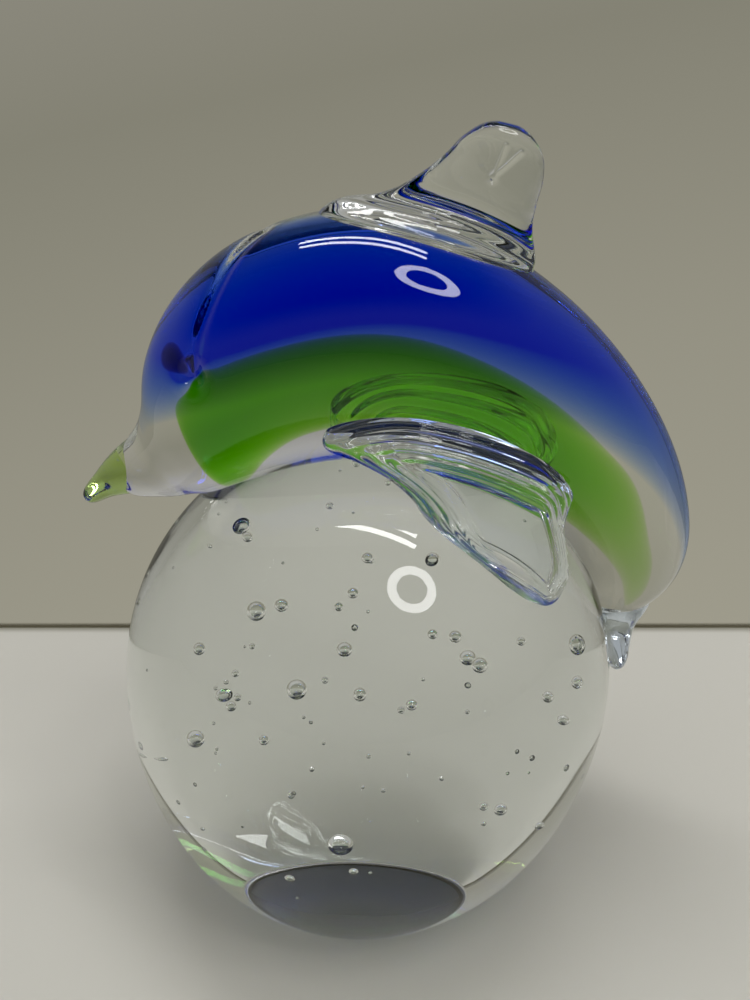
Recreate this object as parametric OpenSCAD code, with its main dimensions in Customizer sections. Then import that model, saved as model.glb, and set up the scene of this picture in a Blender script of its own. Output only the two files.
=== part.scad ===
// Glass dolphin arched over a clear ball full of air bubbles. Millimetres, +Z up.
// The origin is the middle of the ground foot. The head points to -X, the tail to +X.
// The pieces were fused to each other while hot, so they meet face to face.

/* [Ball] */
// Radius of the ball at its widest
ball_r = 44.8; // [43:0.2:47]
// Depth of the lower half of the ball, before its foot is ground flat
ball_drop = 54; // [50:0.5:58]
// Radius of the ground foot
foot_r = 29; // [25:0.5:31]
// How far the middle of the ball leans towards the tail, past the middle of the foot
ball_lean = 4; // [0:0.2:6]
// Number of air bubbles
bubble_count = 28; // [4:1:36]
// Radius of the largest bubbles
bubble_r = 2.2; // [1:0.1:2.6]

/* [Body] */
// Height of the back above the ball, at the fin
back_rise = 39.5; // [36:0.5:42]
// Half of the body's width, at the fin
body_half_w = 18; // [16:0.5:20]
// Width of the coloured core, as a share of the body's width
core_share = 0.7; // [0.62:0.02:0.76]
// Radius of each eye
eye_r = 2.2; // [1.6:0.1:2.6]

/* [Fins] */
// Height of the dorsal fin above the ball
fin_rise = 54.5; // [51:0.5:57]
// Half thickness of the dorsal fin's blade
fin_half_t = 3.2; // [2.6:0.1:4]
// Half thickness of each flipper's blade
flipper_half_t = 2.8; // [2.2:0.1:3.4]

/* [Hidden] */

// Height of the ball's middle above the foot
ball_z = ball_drop * sqrt(1 - pow(foot_r / ball_r, 2));
// Lean of the line from the foot to the middle of the ball
lean = atan(ball_lean / ball_z);
// Points round each section of a glass piece
ring_points = 32;
// Sections from one row of a table to the next
steps = 3;
// Facets round the ball where other glass is melted on to it
melt_facets = 128;
// Points down the outline of the ball
outline_points = 40;

// Sections of the body from the tail to the head, each in a plane through the ball's middle.
// The columns are the angle from +X, the heights of the back and the belly above the ball
// as shares of back_rise, and the half width and the shift to +Y as shares of body_half_w.
BODY = [
    [9, 0.17, -0.02, 0.24, 0.40],
    [14, 0.34, -0.04, 0.34, 0.32],
    [22, 0.46, -0.04, 0.45, 0.19],
    [34, 0.56, -0.04, 0.62, 0.06],
    [50, 0.69, -0.04, 0.81, 0],
    [68, 0.85, -0.04, 0.96, 0],
    [86, 1.00, -0.04, 1, 0],
    [102, 0.96, -0.04, 0.97, 0],
    [113, 0.83, -0.03, 0.90, 0],
    [121, 0.66, -0.01, 0.76, 0],
    [125.5, 0.515, 0.01, 0.62, 0],
    [129, 0.445, 0.05, 0.50, 0],
    [132.5, 0.42, 0.09, 0.41, 0],
    [135.5, 0.405, 0.15, 0.345, 0],
    [137.5, 0.385, 0.20, 0.27, 0],
    [138.3, 0.34, 0.26, 0.12, 0]
];

// Coloured core in the same sections. The columns are the sizes of the blue and the green
// layer as shares of core_share, and the turns from the back at which the blue layer ends
// and the green one begins. Where they overlap, the blue one is cut out of the green one.
CORE = [
    [0.30, 0.30, 50, 130],
    [0.60, 0.50, 55, 125],
    [0.85, 0.80, 62, 118],
    [0.95, 0.90, 72, 108],
    [1, 0.96, 86, 92],
    [1, 0.96, 95, 80],
    [1, 0.96, 95, 80],
    [1, 0.96, 95, 80],
    [1, 0.96, 95, 80],
    [1, 0.9, 95, 80],
    [0.9, 0.6, 88, 84],
    [0.5, 0.3, 80, 90],
    [0.3, 0.3, 80, 90]
];

// First and last rows that each colour reaches
BLUE_ROWS = [0.8, 10.4];
GREEN_ROWS = [1.2, 9];

// Sections of the beak, with the columns of BODY
BEAK = [
    [130.5, 0.40, 0.14, 0.33, 0],
    [133, 0.42, 0.165, 0.345, 0],
    [136, 0.425, 0.20, 0.33, 0],
    [138.5, 0.425, 0.245, 0.29, 0],
    [141, 0.422, 0.295, 0.245, 0],
    [143.2, 0.414, 0.34, 0.185, 0],
    [144.4, 0.397, 0.368, 0.08, 0]
];

// Sections of the flukes, from their free end, with the columns of BODY
FLUKES = [
    [-4.5, 0.085, 0.04, 0.30, 0.54],
    [-3, 0.11, 0.025, 0.50, 0.54],
    [0, 0.14, 0.01, 0.62, 0.52],
    [4, 0.155, 0, 0.54, 0.48],
    [7, 0.185, -0.01, 0.42, 0.44],
    [10, 0.245, -0.03, 0.34, 0.38],
    [13, 0.275, -0.04, 0.28, 0.33]
];

// Sections of the dorsal fin, each at one height. The columns are the height as a share of
// fin_rise, the angle from +X, the half length, the half width as a share of fin_half_t
// and the tilt, by which the end towards the head is higher.
FIN = [
    [0.60, 83, 19, 3.1, 10],
    [0.68, 82.6, 18, 2.75, 10],
    [0.71, 81.6, 16, 2.2, 9],
    [0.735, 80.4, 13.2, 1.45, 7],
    [0.77, 79.6, 11, 1.12, 5],
    [0.82, 78.7, 9.3, 1.02, 3],
    [0.88, 77.8, 7.9, 1, 1.5],
    [0.94, 77.5, 6.4, 0.95, 0],
    [0.985, 77.5, 3.8, 0.65, 0],
    [1, 77.5, 1.5, 0.3, 0]
];

// Sections of a flipper, from its root to its tip. The columns are the distance from the
// ball's middle along the section plane, the angle from +X, the distance out from the
// middle of the body, the half length and the half thickness as a share of flipper_half_t.
FLIPPER = [
    [57, 76, 13, 16, 1.1],
    [53.5, 75, 15.8, 20.5, 1.3],
    [51, 74, 17, 20.5, 1.2],
    [49, 71, 17.8, 18, 1.05],
    [46.5, 66, 18.8, 16, 1],
    [44, 61.5, 19.8, 14.8, 1],
    [42, 59.5, 21, 13.4, 1],
    [40.3, 57, 22.6, 11, 0.95],
    [39, 54, 24, 7.2, 0.8],
    [38.2, 52.5, 25, 3, 0.45]
];

// Place of an eye: the angle from +X and the turn from the back
EYE_ANGLE = 115.2;
EYE_TURN = 41;

// Row of a table at u, which counts the rows, on a smooth curve through all of them
function row(table, i) = table[max(0, min(len(table) - 1, i))];
function curve(a, b, c, d, t) =
    b + 0.5 * t * (c - a + t * (2 * a - 5 * b + 4 * c - d + t * (3 * (b - c) + d - a)));
function at(table, u) =
    let (i = floor(u))
    curve(row(table, i - 1), row(table, i), row(table, i + 1), row(table, i + 2), u - i);
function span(table) = [for (k = [0:(len(table) - 1) * steps]) k / steps];

// Place at an angle and a distance from the middle of the ball, shifted to +Y
function polar(angle, r, y) = [ball_lean + r * cos(angle), y, ball_z + r * sin(angle)];

// Oval section of the body or part of one, from one turn to another, 0 being its back.
// size scales it about its middle, and belly scales its lower half once more.
function body_arc(s, from, to, count, size = 1, belly = 1) =
    let (top = ball_r + s[1] * back_rise, bottom = ball_r + s[2] * back_rise)
    [for (k = [0:count - 1])
        let (turn = from + (to - from) * k / (count - 1), up = cos(turn))
        polar(s[0], (top + bottom + (top - bottom) * size * up * (up < 0 ? belly : 1)) / 2,
              body_half_w * (s[4] + size * s[3] * sin(turn)))];
function body_ring(s) = body_arc(s, 0, 360 * (1 - 1 / ring_points), ring_points);

// Closed solid through a list of rings with equal numbers of points
module loft(rings) {
    n = len(rings[0]);
    last = len(rings) - 1;
    near_end = n * (last + 1);
    sides = [for (i = [0:last - 1], j = [0:n - 1])
        let (a = i * n + j, b = i * n + (j + 1) % n)
        each [[b, a, a + n], [b, a + n, b + n]]];
    ends = [for (j = [0:n - 1])
        each [[near_end, j, (j + 1) % n],
              [near_end + 1, last * n + (j + 1) % n, last * n + j]]];
    middles = [for (ring = [rings[0], rings[last]]) [for (p = ring) 1] * ring / n];
    polyhedron(concat([for (ring = rings) each ring], middles), concat(sides, ends));
}

// Joins what is inside it into one mesh
module one_mesh() {
    resize([0, 0, 0]) children();
}

// Half outline of the whole ball about its middle, from the top to the bottom
function outline() =
    [for (k = [0:outline_points])
        let (turn = 180 * k / outline_points, z = cos(turn))
        [ball_r * sin(turn), z * (z > 0 ? ball_r : ball_drop)]];

// The ball without its bubbles
module ball_blank() {
    intersection() {
        translate([ball_lean, 0, ball_z])
            rotate([0, lean, 0])
                rotate_extrude($fn = melt_facets)
                    polygon(outline());
        translate([-2 * ball_r, -2 * ball_r, 0])
            cube([4 * ball_r, 4 * ball_r, 3 * ball_r]);
    }
}

// Clear ball, with its bubbles on a rising spiral
module bubble_ball() {
    color("aliceblue", 0.35)
        difference() {
            ball_blank();
            for (k = [0:bubble_count - 1]) {
                level = (k + 0.5) / bubble_count;
                reach = ball_r * (0.30 + 0.42 * (k * 0.618 - floor(k * 0.618)));
                translate([ball_lean + reach * cos(k * 137.5), reach * sin(k * 137.5),
                           ball_z + ball_r * (1.1 * level - 0.6)])
                    sphere(r = bubble_r * (0.35 + 0.65 * pow(sin(k * 77), 2)), $fn = 24);
            }
        }
}

module body_blank() {
    loft([for (u = span(BODY)) body_ring(at(BODY, u))]);
}

// Layer of the core between two rows, on the side of the back or of the belly
module core_layer(rows, is_back) {
    count = ceil((rows[1] - rows[0]) * steps);
    loft([for (k = [0:count])
        let (u = rows[0] + (rows[1] - rows[0]) * k / count, core = at(CORE, u))
        is_back
            ? body_arc(at(BODY, u), -core[2], core[2], ring_points, core_share * core[0])
            : body_arc(at(BODY, u), core[3], 360 - core[3], ring_points,
                       core_share * core[1], 1.04 / core_share)]);
}

module blue_core() {
    core_layer(BLUE_ROWS, true);
}

module green_core() {
    core_layer(GREEN_ROWS, false);
}

// Clear outer glass of the dolphin
module body_casing() {
    color("aliceblue", 0.35)
        one_mesh()
            difference() {
                body_blank();
                ball_blank();
                blue_core();
                green_core();
                eye_ball(1);
                eye_ball(-1);
            }
}

module blue_back_layer() {
    color("mediumblue")
        one_mesh()
            difference() {
                blue_core();
                ball_blank();
            }
}

module green_belly_layer() {
    color("forestgreen")
        one_mesh()
            difference() {
                green_core();
                ball_blank();
                blue_core();
            }
}

// Lime glass drawn out of the face
module beak_tip() {
    color("yellowgreen", 0.7)
        one_mesh()
            difference() {
                loft([for (u = span(BEAK)) body_ring(at(BEAK, u))]);
                body_blank();
            }
}

// Clear fin, whose foot spreads over the back
module dorsal_fin() {
    color("aliceblue", 0.5)
        one_mesh()
            difference() {
                loft([for (u = span(FIN)) fin_ring(at(FIN, u))]);
                body_blank();
            }
}

function fin_ring(s) =
    let (r = ball_r + s[0] * fin_rise)
    [for (k = [0:ring_points - 1])
        let (turn = 360 * k / ring_points, along = s[2] * cos(turn))
        polar(s[1] + along / r * 180 / PI, r + along * tan(s[4]), -s[3] * fin_half_t * sin(turn))];

// Flipper on one side of the body; side is -1 for the left one and 1 for the right one
module flipper(side) {
    color("aliceblue", 0.5)
        one_mesh()
            difference() {
                scale([1, -side, 1])
                    loft([for (u = span(FLIPPER)) flipper_ring(at(FLIPPER, u))]);
                body_blank();
                ball_blank();
            }
}

function flipper_ring(s) =
    [for (k = [0:ring_points - 1])
        let (turn = 360 * k / ring_points, along = s[3] * cos(turn))
        polar(s[1] + along / s[0] * 180 / PI, s[0], s[4] * flipper_half_t * sin(turn) - s[2])];

module left_flipper() {
    flipper(-1);
}

module right_flipper() {
    flipper(1);
}

// Tail fin, with a notch between its two lobes
module tail_flukes() {
    notch_r = 3;
    color("lightsteelblue", 0.6)
        one_mesh()
            difference() {
                loft([for (u = span(FLUKES)) body_ring(at(FLUKES, u))]);
                body_blank();
                ball_blank();
                translate(polar(-7, ball_r, 0.54 * body_half_w))
                    rotate([0, 90, 0])
                        cylinder(r = notch_r, h = ball_r, center = true, $fn = 32);
            }
}

// Eye melted into the head; side is -1 for the left one and 1 for the right one
module eye_ball(side) {
    s = at(BODY, 8 + (EYE_ANGLE - BODY[8][0]) / (BODY[9][0] - BODY[8][0]));
    spot = body_arc(s, EYE_TURN, EYE_TURN + 1, 2)[0];
    translate([spot[0], side * (spot[1] - eye_r / 2), spot[2] - eye_r / 2])
        sphere(r = eye_r, $fn = 32);
}

module left_eye() {
    color("midnightblue")
        eye_ball(-1);
}

module right_eye() {
    color("midnightblue")
        eye_ball(1);
}

bubble_ball();
body_casing();
blue_back_layer();
green_belly_layer();
beak_tip();
dorsal_fin();
left_flipper();
right_flipper();
tail_flukes();
left_eye();
right_eye();
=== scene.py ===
import math
import random

import bmesh
import bpy
import numpy as np
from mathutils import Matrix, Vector


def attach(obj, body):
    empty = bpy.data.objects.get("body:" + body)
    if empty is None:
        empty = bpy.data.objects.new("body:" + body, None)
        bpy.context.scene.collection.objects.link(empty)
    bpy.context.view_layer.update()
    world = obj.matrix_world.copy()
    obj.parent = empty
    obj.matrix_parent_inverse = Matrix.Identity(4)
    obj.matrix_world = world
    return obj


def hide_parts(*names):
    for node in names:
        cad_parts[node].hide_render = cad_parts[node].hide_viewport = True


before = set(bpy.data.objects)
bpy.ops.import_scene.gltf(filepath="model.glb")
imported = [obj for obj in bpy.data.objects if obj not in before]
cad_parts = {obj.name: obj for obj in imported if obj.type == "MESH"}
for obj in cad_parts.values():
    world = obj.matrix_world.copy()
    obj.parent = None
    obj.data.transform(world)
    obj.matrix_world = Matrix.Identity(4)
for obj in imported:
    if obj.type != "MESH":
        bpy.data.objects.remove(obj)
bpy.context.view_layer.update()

# Looks of a glass dolphin melted on to a clear ball full of air bubbles. Lengths in the
# tables are millimetres, as in the part's own source, and MM turns them into metres.
MM = 0.001

# The ball
BALL_R = 44.8
BALL_DROP = 54.0
FOOT_R = 29.0
BALL_LEAN = 4.0
BALL_Z = BALL_DROP * math.sqrt(1 - (FOOT_R / BALL_R) ** 2)
LEAN = math.atan(BALL_LEAN / BALL_Z)
CHAMFER = 0.35

# Refractive index of the glass, and of the coloured cores that lie inside clear glass
GLASS_IOR = 1.5
CORE_IOR = 1.0

# The dolphin
BACK_RISE = 39.5
BODY_HALF_W = 18.0
CORE_SHARE = 0.7
FIN_RISE = 54.5
FIN_HALF_T = 3.2
FLIPPER_HALF_T = 2.8
EYE_R = 2.2
EYE_ANGLE = 115.2
EYE_ROW = 8
EYE_TURN = 41.0
EYE_DEPTH = 0.78

# Marks pressed into the pieces, at places in the part's frame. The dimple, the fold and the
# knob are on both sides, at Y and at -Y.
DIMPLE = (-23.1, 14.6, 102.8)
FOLD = [DIMPLE, (-21.3, 12.7, 109.7), (-18.9, 9.9, 115.1), (-15.5, 5.2, 120.1), (-12, 1.5, 122.5)]
DENT = (23.3, -3, 130.7)
DENT_ARMS = [(25.0, -3, 135.2), (27.4, -3, 134.2)]
DENT_FOOT = (23.2, -3, 130.6)
KNOB = (36.6, 17.5, 85.2)
NOTCH = [(44, 9.7, 37.2), (60, 9.7, 37.2)]

# Gap between two fused pieces, which their clear contact faces hide
SEAM = 0.02

# Sections of the body from the tail to the head, each in a plane through the ball's middle:
# angle from +X, heights of the back and the belly above the ball as shares of BACK_RISE,
# half width and shift to +Y as shares of BODY_HALF_W.
BODY = [
    (9, 0.17, -0.02, 0.24, 0.40), (14, 0.34, -0.04, 0.34, 0.32),
    (22, 0.46, -0.04, 0.45, 0.19), (34, 0.56, -0.04, 0.62, 0.06),
    (50, 0.69, -0.04, 0.81, 0), (68, 0.85, -0.04, 0.96, 0), (86, 1.00, -0.04, 1, 0),
    (102, 0.96, -0.04, 0.97, 0), (113, 0.83, -0.03, 0.90, 0), (121, 0.66, -0.01, 0.76, 0),
    (125.5, 0.515, 0.01, 0.62, 0), (129, 0.445, 0.05, 0.50, 0), (132.5, 0.42, 0.09, 0.41, 0),
    (135.5, 0.405, 0.15, 0.345, 0), (137.5, 0.385, 0.20, 0.27, 0), (138.3, 0.34, 0.26, 0.12, 0),
]

# Blue layer in the same sections: size as a share of CORE_SHARE, and the turn from the back
# at which it ends on each side. BLUE_LIFT is how far its underside arches up between them.
BLUE = [
    (1.15, 34), (1.3, 37), (1.28, 40), (1.14, 50), (1.04, 70), (1, 90), (1, 99), (1, 100),
    (1, 91), (0.98, 68), (0.85, 38), (0.6, 26), (0.3, 20),
]
BLUE_ROWS = (0.5, 10.3)
BLUE_LIFT = 0.4

# Green layer, a round cord low in the body: row of BODY, place of its middle between the
# middle of the section and its edge, half height and half width as shares of the section's.
# Its front end slants by GREEN_SLANT degrees, with its top further back.
GREEN = [
    (1.0, -0.06, 0.05, 0.06), (1.5, -0.04, 0.15, 0.13), (2.2, -0.06, 0.20, 0.16),
    (2.8, -0.11, 0.23, 0.18), (3.5, -0.15, 0.30, 0.25), (4.1, -0.22, 0.30, 0.32),
    (5, -0.25, 0.28, 0.36),
    (6, -0.25, 0.27, 0.34), (7, -0.25, 0.28, 0.34), (7.8, -0.25, 0.34, 0.38),
    (8.3, -0.26, 0.39, 0.42), (8.75, -0.27, 0.40, 0.42), (8.98, -0.29, 0.32, 0.36),
    (9.08, -0.30, 0.12, 0.14),
]
GREEN_SLANT = 3.5

# Beak and flukes, with the columns of BODY
BEAK = [
    (130.5, 0.40, 0.14, 0.33, 0), (133, 0.42, 0.165, 0.345, 0), (136, 0.425, 0.20, 0.33, 0),
    (138.5, 0.425, 0.245, 0.29, 0), (141, 0.422, 0.295, 0.245, 0),
    (143.2, 0.423, 0.325, 0.20, 0), (144.4, 0.418, 0.345, 0.15, 0), (144.9, 0.40, 0.362, 0.06, 0),
]
FLUKES = [
    (-4.5, 0.085, 0.04, 0.30, 0.54), (-3, 0.11, 0.025, 0.50, 0.54), (0, 0.14, 0.01, 0.62, 0.52),
    (4, 0.155, 0, 0.54, 0.48), (7, 0.185, -0.01, 0.42, 0.44), (10, 0.245, -0.03, 0.34, 0.38),
    (13, 0.275, -0.04, 0.28, 0.33),
]

# Dorsal fin: height as a share of FIN_RISE, angle from +X, half length, half width as a
# share of FIN_HALF_T, and tilt.
FIN = [
    (0.60, 83, 19, 3.1, 9), (0.68, 82.6, 17.5, 2.75, 8.5), (0.71, 81.6, 16, 2.2, 9),
    (0.735, 80.4, 13.2, 1.45, 7), (0.77, 79.6, 11, 1.12, 5), (0.82, 78.7, 9.3, 1.02, 3),
    (0.88, 77.8, 7.9, 1, 1.5), (0.94, 77.5, 6.4, 0.95, 0), (0.985, 77.5, 3.8, 0.65, 0),
    (1, 77.5, 1.5, 0.3, 0),
]

# Flipper, from its root to its tip: distance from the ball's middle, angle from +X, distance
# out from the middle of the body, half length, half thickness as a share of FLIPPER_HALF_T.
FLIPPER = [
    (57, 76, 13, 16, 1.1), (53.5, 75, 15.8, 20.5, 1.3), (51, 74, 17, 20.5, 1.2),
    (49, 71, 17.8, 18, 1.05), (46.5, 66, 18.8, 16, 1), (44, 61.5, 19.8, 14.8, 1),
    (42, 59.5, 21, 13.4, 1), (40.3, 57, 22.6, 11, 0.95), (39, 54, 24, 7.2, 0.8),
    (38.2, 52.5, 25, 3, 0.45),
]

# The largest bubbles: place from the ball's middle, and radius
BIG_BUBBLES = [
    (-19, -7, 29, 1.5), (-15, -6, 12, 1.35), (-12, -13, 18, 1.0), (29, -5, 6, 1.5),
    (12, -12, 12, 0.9), (15, -10, 6, 1.1), (-1, -17, 6, 0.9), (-2, -13, 20, 0.8),
    (-9, -2, -3, 1.3), (-3, 12, -31, 1.3), (-21, -2, -10, 1.1), (-23, -9, 8, 0.9),
    (6, -18, 5, 0.8), (-14, -19, 0, 0.7), (17, -13, -14, 0.9), (-3, 1, 1, 1.0),
    (12, 8, -5, 1.0), (27, -2, -2, 0.9), (0, -6, 21, 0.8), (22, 1, -6, 0.7),
]
BUBBLE_COUNT = 125
BUBBLE_MIN_R, BUBBLE_SPREAD = 0.22, 0.55
SEED = 7


# ---------------------------------------------------------------- shapes

def smooth_rows(table, u, blur=0.35):
    """Rows of a table at every u, which counts its rows, on a curve eased over its corners."""
    rows = np.array(table, float)
    last = len(rows) - 1

    def through(v):
        v = np.clip(v, 0, last)
        i = np.minimum(v.astype(int), last - 1)
        t = (v - i)[:, None]
        a, b, c, d = (rows[np.clip(i + k, 0, last)] for k in (-1, 0, 1, 2))
        return b + 0.5 * t * (c - a + t * (2 * a - 5 * b + 4 * c - d + t * (3 * (b - c) + d - a)))

    offsets = np.linspace(-blur, blur, 9)
    weights = 1 - np.abs(offsets) / (blur * 1.25)
    weights /= weights.sum()
    return sum(w * through(u + o) for w, o in zip(weights, offsets))


def polar(angle, r, y):
    """Points at angles in degrees and distances from the middle of the ball, in metres."""
    angle, r, y = np.broadcast_arrays(np.radians(angle), r, y)
    return np.stack([BALL_LEAN + r * np.cos(angle), y, BALL_Z + r * np.sin(angle)], -1) * MM


def within(rows, up, out):
    """Places inside the body's sections, from -1 to 1 up and out, as a distance and a Y."""
    top = BALL_R + rows[:, 1:2] * BACK_RISE
    bottom = BALL_R + rows[:, 2:3] * BACK_RISE
    return (top + bottom + (top - bottom) * up) / 2, BODY_HALF_W * (rows[:, 4:5] + rows[:, 3:4] * out)


def section(rows, turns, size=1.0):
    """Ovals of the body: one row of points for each row of the table."""
    return polar(rows[:, 0:1], *within(rows, size * np.cos(turns), size * np.sin(turns)))


def around(count):
    return np.arange(count) * 2 * math.pi / count


def loft_mesh(name, rings):
    """Closed mesh through rings of points, with a middle point at each end."""
    count, n = rings.shape[:2]
    verts = np.concatenate([rings.reshape(-1, 3), rings[:1].mean(1), rings[-1:].mean(1)])
    faces = []
    for i in range(count - 1):
        for j in range(n):
            a, b = i * n + j, i * n + (j + 1) % n
            faces.append((a, b, b + n, a + n))
    end = (count - 1) * n
    for j in range(n):
        faces.append((count * n, (j + 1) % n, j))
        faces.append((count * n + 1, end + j, end + (j + 1) % n))
    return mesh_from(name, verts, faces)


def mesh_from(name, verts, faces):
    """Smooth mesh whose faces look outwards."""
    mesh = bpy.data.meshes.new(name)
    mesh.from_pydata(np.asarray(verts).tolist(), [], faces)
    bm = bmesh.new()
    bm.from_mesh(mesh)
    bmesh.ops.recalc_face_normals(bm, faces=bm.faces)
    bm.to_mesh(mesh)
    bm.free()
    mesh.shade_smooth()
    return mesh


def new_object(name, mesh):
    obj = bpy.data.objects.new(name, mesh)
    bpy.context.scene.collection.objects.link(obj)
    return obj


def drop(*objs):
    for obj in objs:
        bpy.data.objects.remove(obj)


# ---------------------------------------------------------------- blanks

def ball_blank():
    """The ball without its bubbles: rings from the top down to the ground foot."""
    rows, count = 150, 240
    phi = around(count)
    a = -BALL_R * np.cos(phi) * math.sin(LEAN)
    b = BALL_DROP * math.cos(LEAN)
    low = np.arctan2(a, b) + np.arccos(-(BALL_Z - CHAMFER) / np.hypot(a, b))
    theta = np.linspace(0, 1, rows + 1)[1:, None] * low
    z = np.cos(theta)
    z = z * np.where(z > 0, BALL_R, BALL_DROP)
    x = BALL_R * np.sin(theta) * np.cos(phi)
    y = BALL_R * np.sin(theta) * np.sin(phi)
    side = np.stack([BALL_LEAN + x * math.cos(LEAN) + z * math.sin(LEAN), y,
                     BALL_Z - x * math.sin(LEAN) + z * math.cos(LEAN)], -1)
    rim = side[-1].copy()
    middle = rim.mean(0)
    foot = []
    for share in (1 - CHAMFER / FOOT_R, 0.94, 0.8, 0.6, 0.4, 0.2):
        ring = middle + (rim - middle) * share
        ring[:, 2] = 0
        foot.append(ring)
    mesh = loft_mesh("ball", np.concatenate([side, np.array(foot)]) * MM)
    mesh.set_sharp_from_angle(angle=math.radians(25))
    return new_object("ball_blank", mesh)


def body_blank():
    """The body, with the dimple beside each eye and the fold that runs up from it."""
    u = np.linspace(0, len(BODY) - 1, 400)
    points = section(smooth_rows(BODY, u), around(220))
    for side in (-1, 1):
        fold = [(x, side * y, z) for x, y, z in FOLD]
        points = press(points, fold[:1], 2.3, 2.4)
        points = press(points, fold, 1.1, 0.55)
    return new_object("body_blank", loft_mesh("body", points))


def distance_to(points, path):
    """Distance in millimetres from points to a line through the places of a path."""
    points = points / MM
    near = np.full(points.shape[:-1], np.inf)
    for a, b in zip(path, path[1:] or path):
        a, step = np.array(a, float), np.array(b, float) - np.array(a, float)
        along = np.clip(((points - a) @ step) / max(step @ step, 1e-9), 0, 1)
        near = np.minimum(near, np.linalg.norm(points - a - along[..., None] * step, axis=-1))
    return near


def press(points, path, reach, depth, inward=None):
    """Presses a line or a spot into a surface, towards the middle of each of its sections.
    A negative depth raises it instead."""
    if inward is None:
        inward = points.mean(1, keepdims=True) - points
        inward /= np.linalg.norm(inward, axis=-1, keepdims=True)
    near = distance_to(points, path)[..., None] / reach
    return points + np.array(inward) * depth * MM * np.exp(-near ** 2)


def eye_place(side, size):
    """Middle of an eye, on the section of the head that it lies in."""
    before, after = BODY[EYE_ROW][0], BODY[EYE_ROW + 1][0]
    u = EYE_ROW + (EYE_ANGLE - before) / (after - before)
    rows = smooth_rows(BODY, np.array([u]))
    spot = section(rows, np.radians([EYE_TURN * side]), size)[0, 0]
    return Vector(spot)


def fin_blank():
    """The fin, with soft ridges in its skirt and a forked dent in its left side."""
    u = np.linspace(0, len(FIN) - 1, 200)
    rows = smooth_rows(FIN, u, 0.3)
    turns = around(400)
    r = BALL_R + rows[:, 0:1] * FIN_RISE
    along = rows[:, 2:3] * np.cos(turns)
    flat = 1 - 0.45 * np.clip((rows[:, 0:1] - 0.74) / 0.06, 0, 1)
    thick = rows[:, 3:4] * FIN_HALF_T * np.sign(np.sin(turns)) * np.abs(np.sin(turns)) ** flat
    skirt = np.clip((0.76 - rows[:, 0:1]) / 0.04, 0, 1)
    thick = thick * (1 + 0.03 * skirt * np.sin(rows[:, 0:1] * 150))
    points = polar(rows[:, 1:2] + np.degrees(along / r),
                   r + along * np.tan(np.radians(rows[:, 4:5])), thick)
    into = (thick < 0)[..., None] * np.array((0, 1, 0))
    for arm in DENT_ARMS:
        points = press(points, [DENT, arm], 0.3, 1.7, into)
    points = press(points, [DENT_FOOT], 0.7, 1.2, into)
    return new_object("fin_blank", loft_mesh("fin", points))


def flipper_blank(side):
    """A flipper with a thick ridged rim round a thin window; side is -1 for the left one."""
    u = np.linspace(0, len(FLIPPER) - 1, 200)
    rows = smooth_rows(FLIPPER, u, 0.3)
    turns = around(220)
    r = rows[:, 0:1]
    reach = np.cos(turns)
    front = np.clip((reach - 0.30) / 0.70, 0, None)
    back = np.clip((-reach - 0.72) / 0.28, 0, None)
    root = np.clip((r - 48) / 6, 0, None)
    tip = np.clip((41 - r) / 2.5, 0, None)
    rim = np.sqrt(front ** 2 + back ** 2 + root ** 2 + tip ** 2)
    thin = 1 - 0.55 * np.exp(-(rim / 0.2) ** 2)
    ridges = 1 + 0.05 * np.sin(2 * math.pi * 4.5 * rim) * np.clip(rim / 0.25, 0, 1)
    half = rows[:, 4:5] * FLIPPER_HALF_T * thin * ridges * np.sin(turns)
    points = polar(rows[:, 1:2] + np.degrees(rows[:, 3:4] * reach / r), r + 0 * reach,
                   side * (rows[:, 2:3] - half))
    knob = (KNOB[0], side * KNOB[1], KNOB[2])
    points = press(points, [knob], 2.2, -1.8)
    return new_object("flipper_blank", loft_mesh("flipper", points))


def beak_blank():
    """The beak, which reaches back inside the head."""
    u = np.linspace(0, len(BEAK) - 1, 90)
    return new_object("beak_blank", loft_mesh("beak", section(smooth_rows(BEAK, u), around(96))))


def flukes_blank():
    """The flukes, with a notch pressed into their free end between the two lobes."""
    u = np.linspace(0, len(FLUKES) - 1, 90)
    points = section(smooth_rows(FLUKES, u), around(140))
    points = press(points, NOTCH, 2.2, 1.5, (0, 0, 1))
    return new_object("flukes_blank", loft_mesh("flukes", points))


# ---------------------------------------------------------------- joining

def paint(obj, index):
    obj.data.polygons.foreach_set("material_index", np.full(len(obj.data.polygons), index))


def boolean(obj, other, operation):
    """Result of a boolean of two closed objects, as a new object."""
    modifier = obj.modifiers.new("cut", "BOOLEAN")
    modifier.solver = "MANIFOLD"
    modifier.operation = operation
    modifier.object = other
    bpy.context.view_layer.update()
    graph = bpy.context.evaluated_depsgraph_get()
    mesh = bpy.data.meshes.new_from_object(obj.evaluated_get(graph))
    obj.modifiers.remove(modifier)
    return new_object(obj.name + "_cut", mesh)


def fattened(obj, by):
    """Copy of an object, grown along its normals."""
    copy = new_object(obj.name + "_fat", obj.data.copy())
    normals = np.empty(len(copy.data.vertices) * 3, np.float32)
    copy.data.vertices.foreach_get("normal", normals)
    co = np.empty_like(normals)
    copy.data.vertices.foreach_get("co", co)
    copy.data.vertices.foreach_set("co", co + normals * by * MM)
    return copy


def joined(objs):
    """Union of several closed objects."""
    whole = new_object("joined", objs[0].data.copy())
    for obj in objs[1:]:
        more = boolean(whole, obj, "UNION")
        drop(whole)
        whole = more
    return whole


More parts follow.
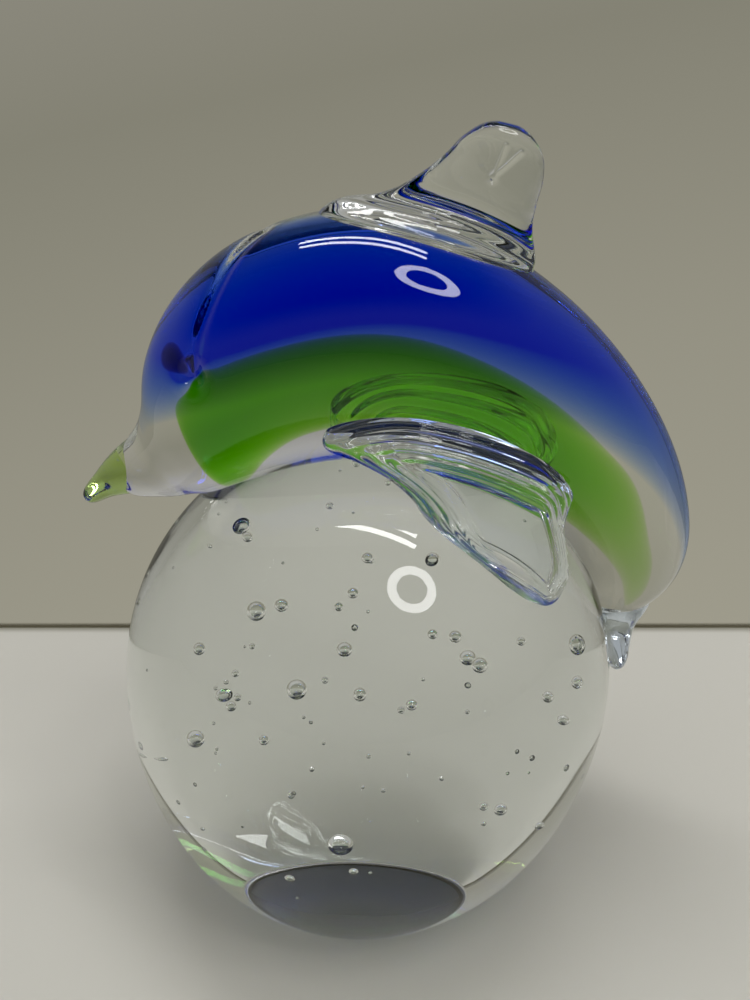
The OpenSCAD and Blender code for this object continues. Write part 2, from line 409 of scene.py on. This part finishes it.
def fused_piece(name, blank, cutters, neighbours):
    """A blank less its cutters. Slot 0 is its open surface, and slot 1 is where it's fused:
    the faces that the cutters leave, and those inside its neighbours."""
    for obj in (blank, *cutters, *neighbours):
        for index in range(len(obj.data.materials), len(SLOTS)):
            obj.data.materials.append(SLOTS[index])
    paint(blank, 0)
    body = new_object(name, blank.data.copy())
    for cutter in cutters:
        fat = fattened(cutter, SEAM)
        paint(fat, 1)
        cut = boolean(body, fat, "DIFFERENCE")
        drop(body, fat)
        body = cut
    parts = [(body, False)]
    if neighbours:
        others = joined(neighbours)
        paint(others, 2)
        parts = [(boolean(body, others, "DIFFERENCE"), False),
                 (boolean(body, others, "INTERSECT"), True)]
        drop(body, others)
    bm = bmesh.new()
    for part, inside in parts:
        before = len(bm.faces)
        bm.from_mesh(part.data)
        bm.faces.ensure_lookup_table()
        for face in bm.faces[before:]:
            if inside and face.material_index == 0:
                face.material_index = 1
        drop(part)
    lost = [f for f in bm.faces if f.material_index == 2]
    bmesh.ops.delete(bm, geom=lost, context="FACES")
    bmesh.ops.remove_doubles(bm, verts=bm.verts, dist=5e-6)
    bmesh.ops.dissolve_degenerate(bm, edges=bm.edges, dist=1e-6)
    gaps = [e for e in bm.edges if len(e.link_faces) == 1]
    bmesh.ops.holes_fill(bm, edges=gaps, sides=12)
    for edge in bm.edges:
        indices = {f.material_index for f in edge.link_faces}
        edge.smooth = len(indices) == 1
    mesh = bpy.data.meshes.new(name)
    bm.to_mesh(mesh)
    bm.free()
    piece = new_object(name, mesh)
    for material in SLOTS[:2]:
        mesh.materials.append(material)
    borrow_normals(piece, blank)
    return piece


def borrow_normals(piece, source):
    """Takes smooth normals from the uncut blank, so that a cut leaves no crease in the light."""
    modifier = piece.modifiers.new("normals", "DATA_TRANSFER")
    modifier.object = source
    modifier.use_loop_data = True
    modifier.data_types_loops = {"CUSTOM_NORMAL"}
    modifier.loop_mapping = "POLYINTERP_NEAREST"
    bpy.context.view_layer.update()
    graph = bpy.context.evaluated_depsgraph_get()
    mesh = bpy.data.meshes.new_from_object(piece.evaluated_get(graph))
    piece.modifiers.remove(modifier)
    piece.data = mesh


# ---------------------------------------------------------------- materials

def glass(name, colour=(1, 1, 1), wave=0.0, wave_size=20.0, roughness=0.0):
    """Clear or evenly tinted glass, whose surface has a faint hot-worked wave."""
    material = bpy.data.materials.new(name)
    material.use_nodes = True
    nodes, links = material.node_tree.nodes, material.node_tree.links
    shader = nodes["Principled BSDF"]
    shader.inputs["Base Color"].default_value = (*colour, 1)
    shader.inputs["Roughness"].default_value = roughness
    shader.inputs["IOR"].default_value = GLASS_IOR
    shader.inputs["Transmission Weight"].default_value = 1
    if wave:
        place = nodes.new("ShaderNodeTexCoord")
        noise = nodes.new("ShaderNodeTexNoise")
        noise.inputs["Scale"].default_value = 1 / (wave_size * MM)
        noise.inputs["Detail"].default_value = 1
        bump = nodes.new("ShaderNodeBump")
        bump.inputs["Strength"].default_value = 1
        bump.inputs["Distance"].default_value = wave * MM
        links.new(place.outputs["Object"], noise.inputs["Vector"])
        links.new(noise.outputs["Fac"], bump.inputs["Height"])
        links.new(bump.outputs["Normal"], shader.inputs["Normal"])
    return material


def colour_glass(name, passes, density):
    """Coloured glass cased in clear glass of the same kind, so that it takes colour with depth
    and doesn't bend light: passes is the colour it lets through, density how fast it takes it."""
    material = glass(name)
    shader = material.node_tree.nodes["Principled BSDF"]
    shader.inputs["IOR"].default_value = CORE_IOR
    absorb = material.node_tree.nodes.new("ShaderNodeVolumeAbsorption")
    absorb.inputs["Color"].default_value = (*passes, 1)
    absorb.inputs["Density"].default_value = density
    output = material.node_tree.nodes["Material Output"]
    material.node_tree.links.new(absorb.outputs[0], output.inputs["Volume"])
    return material


def ground_glass_painted_shade():
    """Satin foot, whose colour is painted shade and light: a dark ring of painted shade round a paler
    middle of painted light, which lies a little to -Y.
    """
    material = glass("foot_glass_painted_shade", wave=0.01, wave_size=2, roughness=0.22)
    nodes, links = material.node_tree.nodes, material.node_tree.links
    shader = nodes["Principled BSDF"]
    shader.inputs["Specular IOR Level"].default_value = 0.15
    place = nodes.new("ShaderNodeNewGeometry")
    shift = nodes.new("ShaderNodeVectorMath")
    shift.operation = "MULTIPLY_ADD"
    shift.inputs[1].default_value = (1, 1, 0)
    shift.inputs[2].default_value = (-2 * MM, 5 * MM, 0)
    reach = nodes.new("ShaderNodeVectorMath")
    reach.operation = "LENGTH"
    share = nodes.new("ShaderNodeMapRange")
    share.interpolation_type = "SMOOTHSTEP"
    share.inputs["From Min"].default_value = 0.15 * FOOT_R * MM
    share.inputs["From Max"].default_value = 0.95 * FOOT_R * MM
    share.inputs["To Min"].default_value = 0.9
    share.inputs["To Max"].default_value = 0.03
    # The ramp's dark stops are painted shade, a soft dark navy ring. Its pale stop is painted light
    # in the middle, in place of the light and shade seen through the foot.
    ramp = nodes.new("ShaderNodeValToRGB")
    paint_ramp(ramp, [(0, (0.06, 0.07, 0.09)), (1, (0.50, 0.50, 0.33)),
                      (0.25, (0.002, 0.01, 0.07)), (0.6, (0.12, 0.15, 0.15))])
    links.new(place.outputs["Position"], shift.inputs[0])
    links.new(shift.outputs["Vector"], reach.inputs[0])
    links.new(reach.outputs["Value"], share.inputs["Value"])
    links.new(share.outputs["Result"], ramp.inputs[0])
    links.new(ramp.outputs[0], shader.inputs["Base Color"])
    shader.inputs["Transmission Weight"].default_value = 0.08
    return material


def paint_ramp(ramp, stops):
    """Sets a colour ramp: its two ends first, then the stops between them."""
    for index, (place, colour) in enumerate(stops):
        if index < 2:
            stop = ramp.color_ramp.elements[index]
            stop.position = place
        else:
            stop = ramp.color_ramp.elements.new(place)
        stop.color = (*colour, 1)


def fused_glass():
    """Where two pieces of the same glass meet, light goes straight through."""
    material = bpy.data.materials.new("fused")
    material.use_nodes = True
    nodes, links = material.node_tree.nodes, material.node_tree.links
    nodes.remove(nodes["Principled BSDF"])
    clear = nodes.new("ShaderNodeBsdfTransparent")
    links.new(clear.outputs[0], nodes["Material Output"].inputs["Surface"])
    return material


def matt(name, colour):
    """Plain matt paint, for the stage and for cutters that leave nothing behind."""
    material = bpy.data.materials.new(name)
    material.use_nodes = True
    shader = material.node_tree.nodes["Principled BSDF"]
    shader.inputs["Base Color"].default_value = (*colour, 1)
    shader.inputs["Roughness"].default_value = 0.85
    shader.inputs["Specular IOR Level"].default_value = 0.15
    return material


def glowing(name, colour, strength):
    """Surface that gives off light."""
    material = bpy.data.materials.new(name)
    material.use_nodes = True
    nodes, links = material.node_tree.nodes, material.node_tree.links
    nodes.remove(nodes["Principled BSDF"])
    glow = nodes.new("ShaderNodeEmission")
    glow.inputs["Color"].default_value = (*colour, 1)
    glow.inputs["Strength"].default_value = strength
    links.new(glow.outputs[0], nodes["Material Output"].inputs["Surface"])
    return material


SLOTS = [glass("open"), fused_glass(), matt("other", (0.5, 0.5, 0.5))]


# ---------------------------------------------------------------- pieces

def place_piece(piece, node, material):
    """Gives a finished piece its name, glass, body and CAD node."""
    piece.name = node + "_glass"
    piece.data.materials[0] = material
    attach(piece, "root")
    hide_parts(node)
    return piece


def bubble_places():
    """The listed bubbles, then seeded ones that keep clear of them and of the surface."""
    draw = random.Random(SEED)
    found = [(Vector(b[:3]), b[3]) for b in BIG_BUBBLES]
    while len(found) < BUBBLE_COUNT:
        r = BUBBLE_MIN_R + BUBBLE_SPREAD * draw.random() ** 2
        spot = Vector([draw.uniform(-1, 1) for _ in range(3)])
        if spot.length > 1:
            continue
        spot *= BALL_R * 0.88
        low = spot.z < -0.55 * BALL_R
        if low or any((spot - p).length < r + q + 0.8 for p, q in found):
            continue
        found.append((spot, r))
    return found


def grind_and_shade_foot(piece, material):
    """Gives the flat foot of the ball its satin, ground finish, with its painted shade and light."""
    piece.data.materials.append(material)
    for face in piece.data.polygons:
        if face.center.z < 0.01 * MM and face.normal.z < -0.9:
            face.material_index = 2


def add_bubbles(piece):
    """Adds inward-facing bubbles to the ball's mesh."""
    bm = bmesh.new()
    bm.from_mesh(piece.data)
    draw = random.Random(SEED + 1)
    for spot, r in bubble_places():
        made = bmesh.ops.create_icosphere(bm, subdivisions=4 if r > 0.7 else 3, radius=r * MM)
        squash = draw.uniform(0.86, 1.0)
        middle = Vector((BALL_LEAN, 0, BALL_Z)) * MM + spot * MM
        for vert in made["verts"]:
            vert.co.z *= squash
            vert.co += middle
        faces = {f for v in made["verts"] for f in v.link_faces}
        bmesh.ops.reverse_faces(bm, faces=list(faces))
        for face in faces:
            face.smooth = True
    bm.to_mesh(piece.data)
    bm.free()


def core_object(name, rings, material):
    """A colour layer, which lies wholly inside the casing and has one glass all over."""
    mesh = loft_mesh(name, rings)
    mesh.materials.append(material)
    return new_object(name, mesh)


def blue_core(material):
    """Blue cap over the back. Its underside is arched, so that it thins towards its edges."""
    u = np.linspace(*BLUE_ROWS, 150)
    rows, ends = smooth_rows(BODY, u), smooth_rows(BLUE, u)
    stop = np.radians(ends[:, 1:2])
    turns = np.linspace(-1, 1, 72) * stop
    share = np.linspace(1, -1, 40)[1:-1]
    up = np.concatenate([np.cos(turns), np.cos(stop) + BLUE_LIFT * (1 - share ** 2)
                         * (1 - np.cos(stop)) / 2], 1)
    out = np.concatenate([np.sin(turns), np.sin(stop) * share], 1)
    size = CORE_SHARE * ends[:, 0:1]
    return core_object("blue", polar(rows[:, 0:1], *within(rows, size * up, size * out)), material)


def green_core(material):
    """Green cord along the belly, whose ends taper off."""
    steps = np.linspace(0, len(GREEN) - 1, 150)
    cords = smooth_rows(GREEN, steps, 0.3)
    rows = smooth_rows(BODY, cords[:, 0])
    turns = around(72)
    up = cords[:, 1:2] + cords[:, 2:3] * np.cos(turns)
    places = within(rows, up, cords[:, 3:4] * np.sin(turns))
    slant = GREEN_SLANT * cords[:, 2:3] * np.cos(turns) * np.clip(cords[:, 0:1] - 8, 0, 1)
    return core_object("green", polar(rows[:, 0:1] - slant, *places), material)


def eye(side, material):
    """Dark drop of glass in the head."""
    bm = bmesh.new()
    bmesh.ops.create_uvsphere(bm, u_segments=48, v_segments=32, radius=EYE_R * MM)
    middle = eye_place(side, EYE_DEPTH)
    for vert in bm.verts:
        vert.co.x *= 0.9
        vert.co += middle
    mesh = bpy.data.meshes.new("eye")
    bm.to_mesh(mesh)
    bm.free()
    mesh.shade_smooth()
    mesh.materials.append(material)
    return new_object("eye", mesh)


def build_figure():
    """Makes every piece from the blanks, which cut each other where they are fused."""
    ball, body, fin = ball_blank(), body_blank(), fin_blank()
    left, right = flipper_blank(-1), flipper_blank(1)
    beak, flukes = beak_blank(), flukes_blank()

    clear_ball = glass("ball_glass", (0.93, 0.96, 0.935), wave=0.02, wave_size=25)
    # The foot's glass carries painted shade: a dark ring round a paler middle.
    ground = ground_glass_painted_shade()
    clear_casing = glass("casing_glass", (0.97, 0.98, 0.97), wave=0.03, wave_size=18)
    clear_fin = glass("fin_glass", (0.93, 0.96, 0.955), wave=0.015, wave_size=9)
    smoke = glass("smoke_glass", (0.72, 0.80, 0.89), wave=0.02, wave_size=8)
    lime = glass("lime_glass", (0.56, 0.78, 0.24), wave=0.03, wave_size=8)
    blue = colour_glass("cobalt_glass", (0.03, 0.36, 1.0), 260)
    green = colour_glass("grass_glass", (0.52, 0.89, 0.0), 340)
    navy = colour_glass("eye_glass", (0.05, 0.05, 0.6), 900)

    piece = fused_piece("ball", ball, [], [body, left, right, flukes])
    place_piece(piece, "bubble_ball", clear_ball)
    grind_and_shade_foot(piece, ground)
    add_bubbles(piece)
    piece = fused_piece("casing", body, [ball], [fin, left, right, flukes, beak])
    place_piece(piece, "body_casing", clear_casing)
    piece = fused_piece("fin", fin, [body], [])
    place_piece(piece, "dorsal_fin", clear_fin)
    for name, blank in (("left_flipper", left), ("right_flipper", right)):
        piece = fused_piece(name, blank, [body, ball], [])
        place_piece(piece, name, clear_fin)
    piece = fused_piece("flukes", flukes, [body, ball], [])
    place_piece(piece, "tail_flukes", smoke)
    piece = fused_piece("beak", beak, [body], [])
    place_piece(piece, "beak_tip", lime)
    place_piece(blue_core(blue), "blue_back_layer", blue)
    place_piece(green_core(green), "green_belly_layer", green)
    place_piece(eye(-1, navy), "left_eye", navy)
    place_piece(eye(1, navy), "right_eye", navy)
    drop(ball, body, fin, left, right, beak, flukes)


# ---------------------------------------------------------------- stage, lights, camera

# The table, and the soft dark line of painted shade where its back edge meets the wall
SEAM_Y = 77.0
SEAM_SOFT, SEAM_TOP = 3.0, 1.6
TABLE_W = 2400.0
TABLE_FRONT = -1400.0
TABLE_BOTTOM, TABLE_TOP = -30.0, -0.15
TABLE_COLOUR = (0.60, 0.588, 0.54)

# Lamps: places, sizes and powers
KEY_PLACE, KEY_SIZE, KEY_POWER = (-150, -100, 900), (700, 700), 1.1
TUBE_SIZE, TUBE_POWER, TUBE_SPIN = (420, 26), 0.5, -18
TUBE_PLACES = [(0, 25, 620), (0, 85, 620)]
RING_PLACE, RING_AIM, RING_R, RING_WIDTH, RING_GLOW = (206, -253, 600), (4, 0, 60), 95, 22, 9

# Camera: place, degrees that it looks down, focal length and height of its sensor
CAMERA_PLACE = (5.3, -170.8, 156.5)
CAMERA_DOWN = 25.511
LENS, SENSOR = 25.73, 24


def slab(name, low, high, material):
    """Block of the stage, between two opposite corners."""
    bm = bmesh.new()
    bmesh.ops.create_cube(bm, size=1)
    for vert in bm.verts:
        for k in range(3):
            vert.co[k] = (low[k] if vert.co[k] < 0 else high[k]) * MM
    mesh = bpy.data.meshes.new(name)
    bm.to_mesh(mesh)
    bm.free()
    mesh.materials.append(material)
    obj = new_object(name, mesh)
    return obj


def area_light(name, place, size, power, aim=(0, 0, 60), spin=0.0):
    """Oblong lamp that faces its aim or, with a spin, straight down and turned by it."""
    lamp = bpy.data.lights.new(name, "AREA")
    lamp.shape = "RECTANGLE"
    lamp.size, lamp.size_y = size[0] * MM, size[1] * MM
    lamp.energy = power
    obj = bpy.data.objects.new(name, lamp)
    bpy.context.scene.collection.objects.link(obj)
    obj.location = Vector(place) * MM
    if spin:
        obj.rotation_euler = (0, 0, math.radians(spin))
    else:
        obj.rotation_mode = "QUATERNION"
        obj.rotation_quaternion = (Vector(aim) - Vector(place)).to_track_quat("-Z", "Y")
    obj.visible_camera = False
    return obj


def ring_lamp(place, aim, r, width):
    """Ring of light, whose reflection is a small white circle."""
    n, sides = 96, 10
    turns = around(n)
    rings = []
    for k in around(sides):
        rings.append(np.stack([(r + width * math.cos(k)) * np.cos(turns),
                               (r + width * math.cos(k)) * np.sin(turns),
                               0 * turns + width * 0.4 * math.sin(k)], -1))
    verts = np.array(rings).reshape(-1, 3) * MM
    faces = []
    for i in range(sides):
        this, other = i * n, (i + 1) % sides * n
        for j in range(n):
            after = (j + 1) % n
            faces.append((this + j, this + after, other + after, other + j))
    obj = new_object("ring_lamp", mesh_from("ring_lamp", verts, faces))
    obj.data.materials.append(glowing("ring_light", (1, 1, 1), RING_GLOW))
    obj.location = Vector(place) * MM
    obj.rotation_mode = "QUATERNION"
    obj.rotation_quaternion = (Vector(aim) - Vector(place)).to_track_quat("-Z", "Y")
    obj.visible_camera = False


def fading(material, axis, start, end):
    """Number from 0 to 1 between two places along an axis, in millimetres."""
    nodes, links = material.node_tree.nodes, material.node_tree.links
    place = nodes.new("ShaderNodeTexCoord")
    split = nodes.new("ShaderNodeSeparateXYZ")
    fade = nodes.new("ShaderNodeMapRange")
    fade.interpolation_type = "SMOOTHSTEP"
    fade.inputs["From Min"].default_value = start * MM
    fade.inputs["From Max"].default_value = end * MM
    links.new(place.outputs["Object"], split.inputs[0])
    links.new(split.outputs[axis], fade.inputs["Value"])
    return fade.outputs["Result"]


def table_paint_with_edge_shade():
    """Pale table, darker along its back edge with painted shade."""
    material = matt("table", TABLE_COLOUR)
    nodes, links = material.node_tree.nodes, material.node_tree.links
    ramp = nodes.new("ShaderNodeValToRGB")
    # The ramp's dark end is painted shade along the table's back edge.
    paint_ramp(ramp, [(0, TABLE_COLOUR), (1, (0.33, 0.32, 0.27))])
    links.new(fading(material, "Y", SEAM_Y - SEAM_SOFT, SEAM_Y), ramp.inputs[0])
    links.new(ramp.outputs[0], nodes["Principled BSDF"].inputs["Base Color"])
    return material


def seam_shade_paint():
    """Painted shade: a dark line in the corner at the table's back edge, which fades out into the
    wall above it.
    """
    material = matt("seam", (0.22, 0.205, 0.155))
    nodes, links = material.node_tree.nodes, material.node_tree.links
    links.new(fading(material, "Z", SEAM_TOP, 0), nodes["Principled BSDF"].inputs["Alpha"])
    return material


def build_stage():
    slab("table_top", (-TABLE_W, TABLE_FRONT, TABLE_BOTTOM), (TABLE_W, SEAM_Y, TABLE_TOP),
         table_paint_with_edge_shade())
    # A strip of painted shade stands along the table's back edge.
    slab("table_edge_shade", (-TABLE_W, SEAM_Y, TABLE_BOTTOM), (TABLE_W, SEAM_Y + 0.2, SEAM_TOP),
         seam_shade_paint())
    build_world()


def sky_ramp(nodes, links, height, stops):
    """Background whose colour changes with height, as the walls and ceiling of a room do."""
    ramp = nodes.new("ShaderNodeValToRGB")
    back = nodes.new("ShaderNodeBackground")
    links.new(height, ramp.inputs[0])
    links.new(ramp.outputs[0], back.inputs["Color"])
    paint_ramp(ramp, stops)
    return back


def build_world():
    """A warm grey room. Reflections see it dimmer than rays through the glass do."""
    world = bpy.data.worlds.new("room")
    bpy.context.scene.world = world
    world.use_nodes = True
    nodes, links = world.node_tree.nodes, world.node_tree.links
    nodes.remove(nodes["Background"])
    place = nodes.new("ShaderNodeTexCoord")
    slope = nodes.new("ShaderNodeVectorMath")
    slope.operation = "DOT_PRODUCT"
    slope.inputs[1].default_value = (-0.1, 0, 0.5)
    height = nodes.new("ShaderNodeMath")
    height.operation = "ADD"
    height.inputs[1].default_value = 0.5
    links.new(place.outputs["Generated"], slope.inputs[0])
    links.new(slope.outputs["Value"], height.inputs[0])
    room = sky_ramp(nodes, links, height.outputs[0],
                    [(0.20, (0.35, 0.335, 0.27)), (1, (0.46, 0.46, 0.45)),
                     (0.34, (0.30, 0.288, 0.232)), (0.47, (0.235, 0.228, 0.182)),
                     (0.56, (0.27, 0.26, 0.22)), (0.7, (0.40, 0.39, 0.36))])
    dim = sky_ramp(nodes, links, height.outputs[0],
                   [(0.25, (0.12, 0.11, 0.08)), (1, (0.05, 0.04, 0.07)),
                    (0.5, (0.24, 0.24, 0.22)), (0.72, (0.26, 0.26, 0.26)),
                    (0.84, (0.07, 0.07, 0.09))])
    path = nodes.new("ShaderNodeLightPath")
    mirrored = nodes.new("ShaderNodeMath")
    mirrored.operation = "SUBTRACT"
    mirrored.use_clamp = True
    mix = nodes.new("ShaderNodeMixShader")
    links.new(path.outputs["Is Glossy Ray"], mirrored.inputs[0])
    links.new(path.outputs["Is Transmission Ray"], mirrored.inputs[1])
    links.new(mirrored.outputs[0], mix.inputs[0])
    links.new(room.outputs[0], mix.inputs[1])
    links.new(dim.outputs[0], mix.inputs[2])
    links.new(mix.outputs[0], nodes["World Output"].inputs["Surface"])


def build_lights():
    """A soft lamp that isn't seen in or through the glass, two tubes and a ring."""
    key = area_light("soft_key", KEY_PLACE, KEY_SIZE, KEY_POWER)
    key.visible_glossy = False
    key.visible_transmission = False
    for k, place in enumerate(TUBE_PLACES):
        area_light(f"tube_{k}", place, TUBE_SIZE, TUBE_POWER, spin=TUBE_SPIN)
    ring_lamp(RING_PLACE, RING_AIM, RING_R, RING_WIDTH)


def build_camera():
    data = bpy.data.cameras.new("view")
    data.sensor_fit = "VERTICAL"
    data.sensor_height = SENSOR
    data.lens = LENS
    data.clip_start = 0.01
    camera = bpy.data.objects.new("view", data)
    bpy.context.scene.collection.objects.link(camera)
    camera.location = Vector(CAMERA_PLACE) * MM
    camera.rotation_euler = (math.radians(90 - CAMERA_DOWN), 0, 0)
    bpy.context.scene.camera = camera


def set_light_paths():
    """Light passes many faces on its way through glass inside glass. The curve takes a faint
    veil of stray light out of the darkest tones."""
    cycles = bpy.context.scene.cycles
    cycles.max_bounces = 24
    cycles.transmission_bounces = 24
    cycles.glossy_bounces = 12
    cycles.transparent_max_bounces = 32
    cycles.use_denoising = True
    cycles.caustics_refractive = True
    cycles.caustics_reflective = True
    view = bpy.context.scene.view_settings
    view.view_transform = "Standard"
    view.use_curve_mapping = True
    view.curve_mapping.black_level = (0.006, 0.006, 0.008)
    view.curve_mapping.update()


build_camera()
build_figure()
build_stage()
build_lights()
set_light_paths()
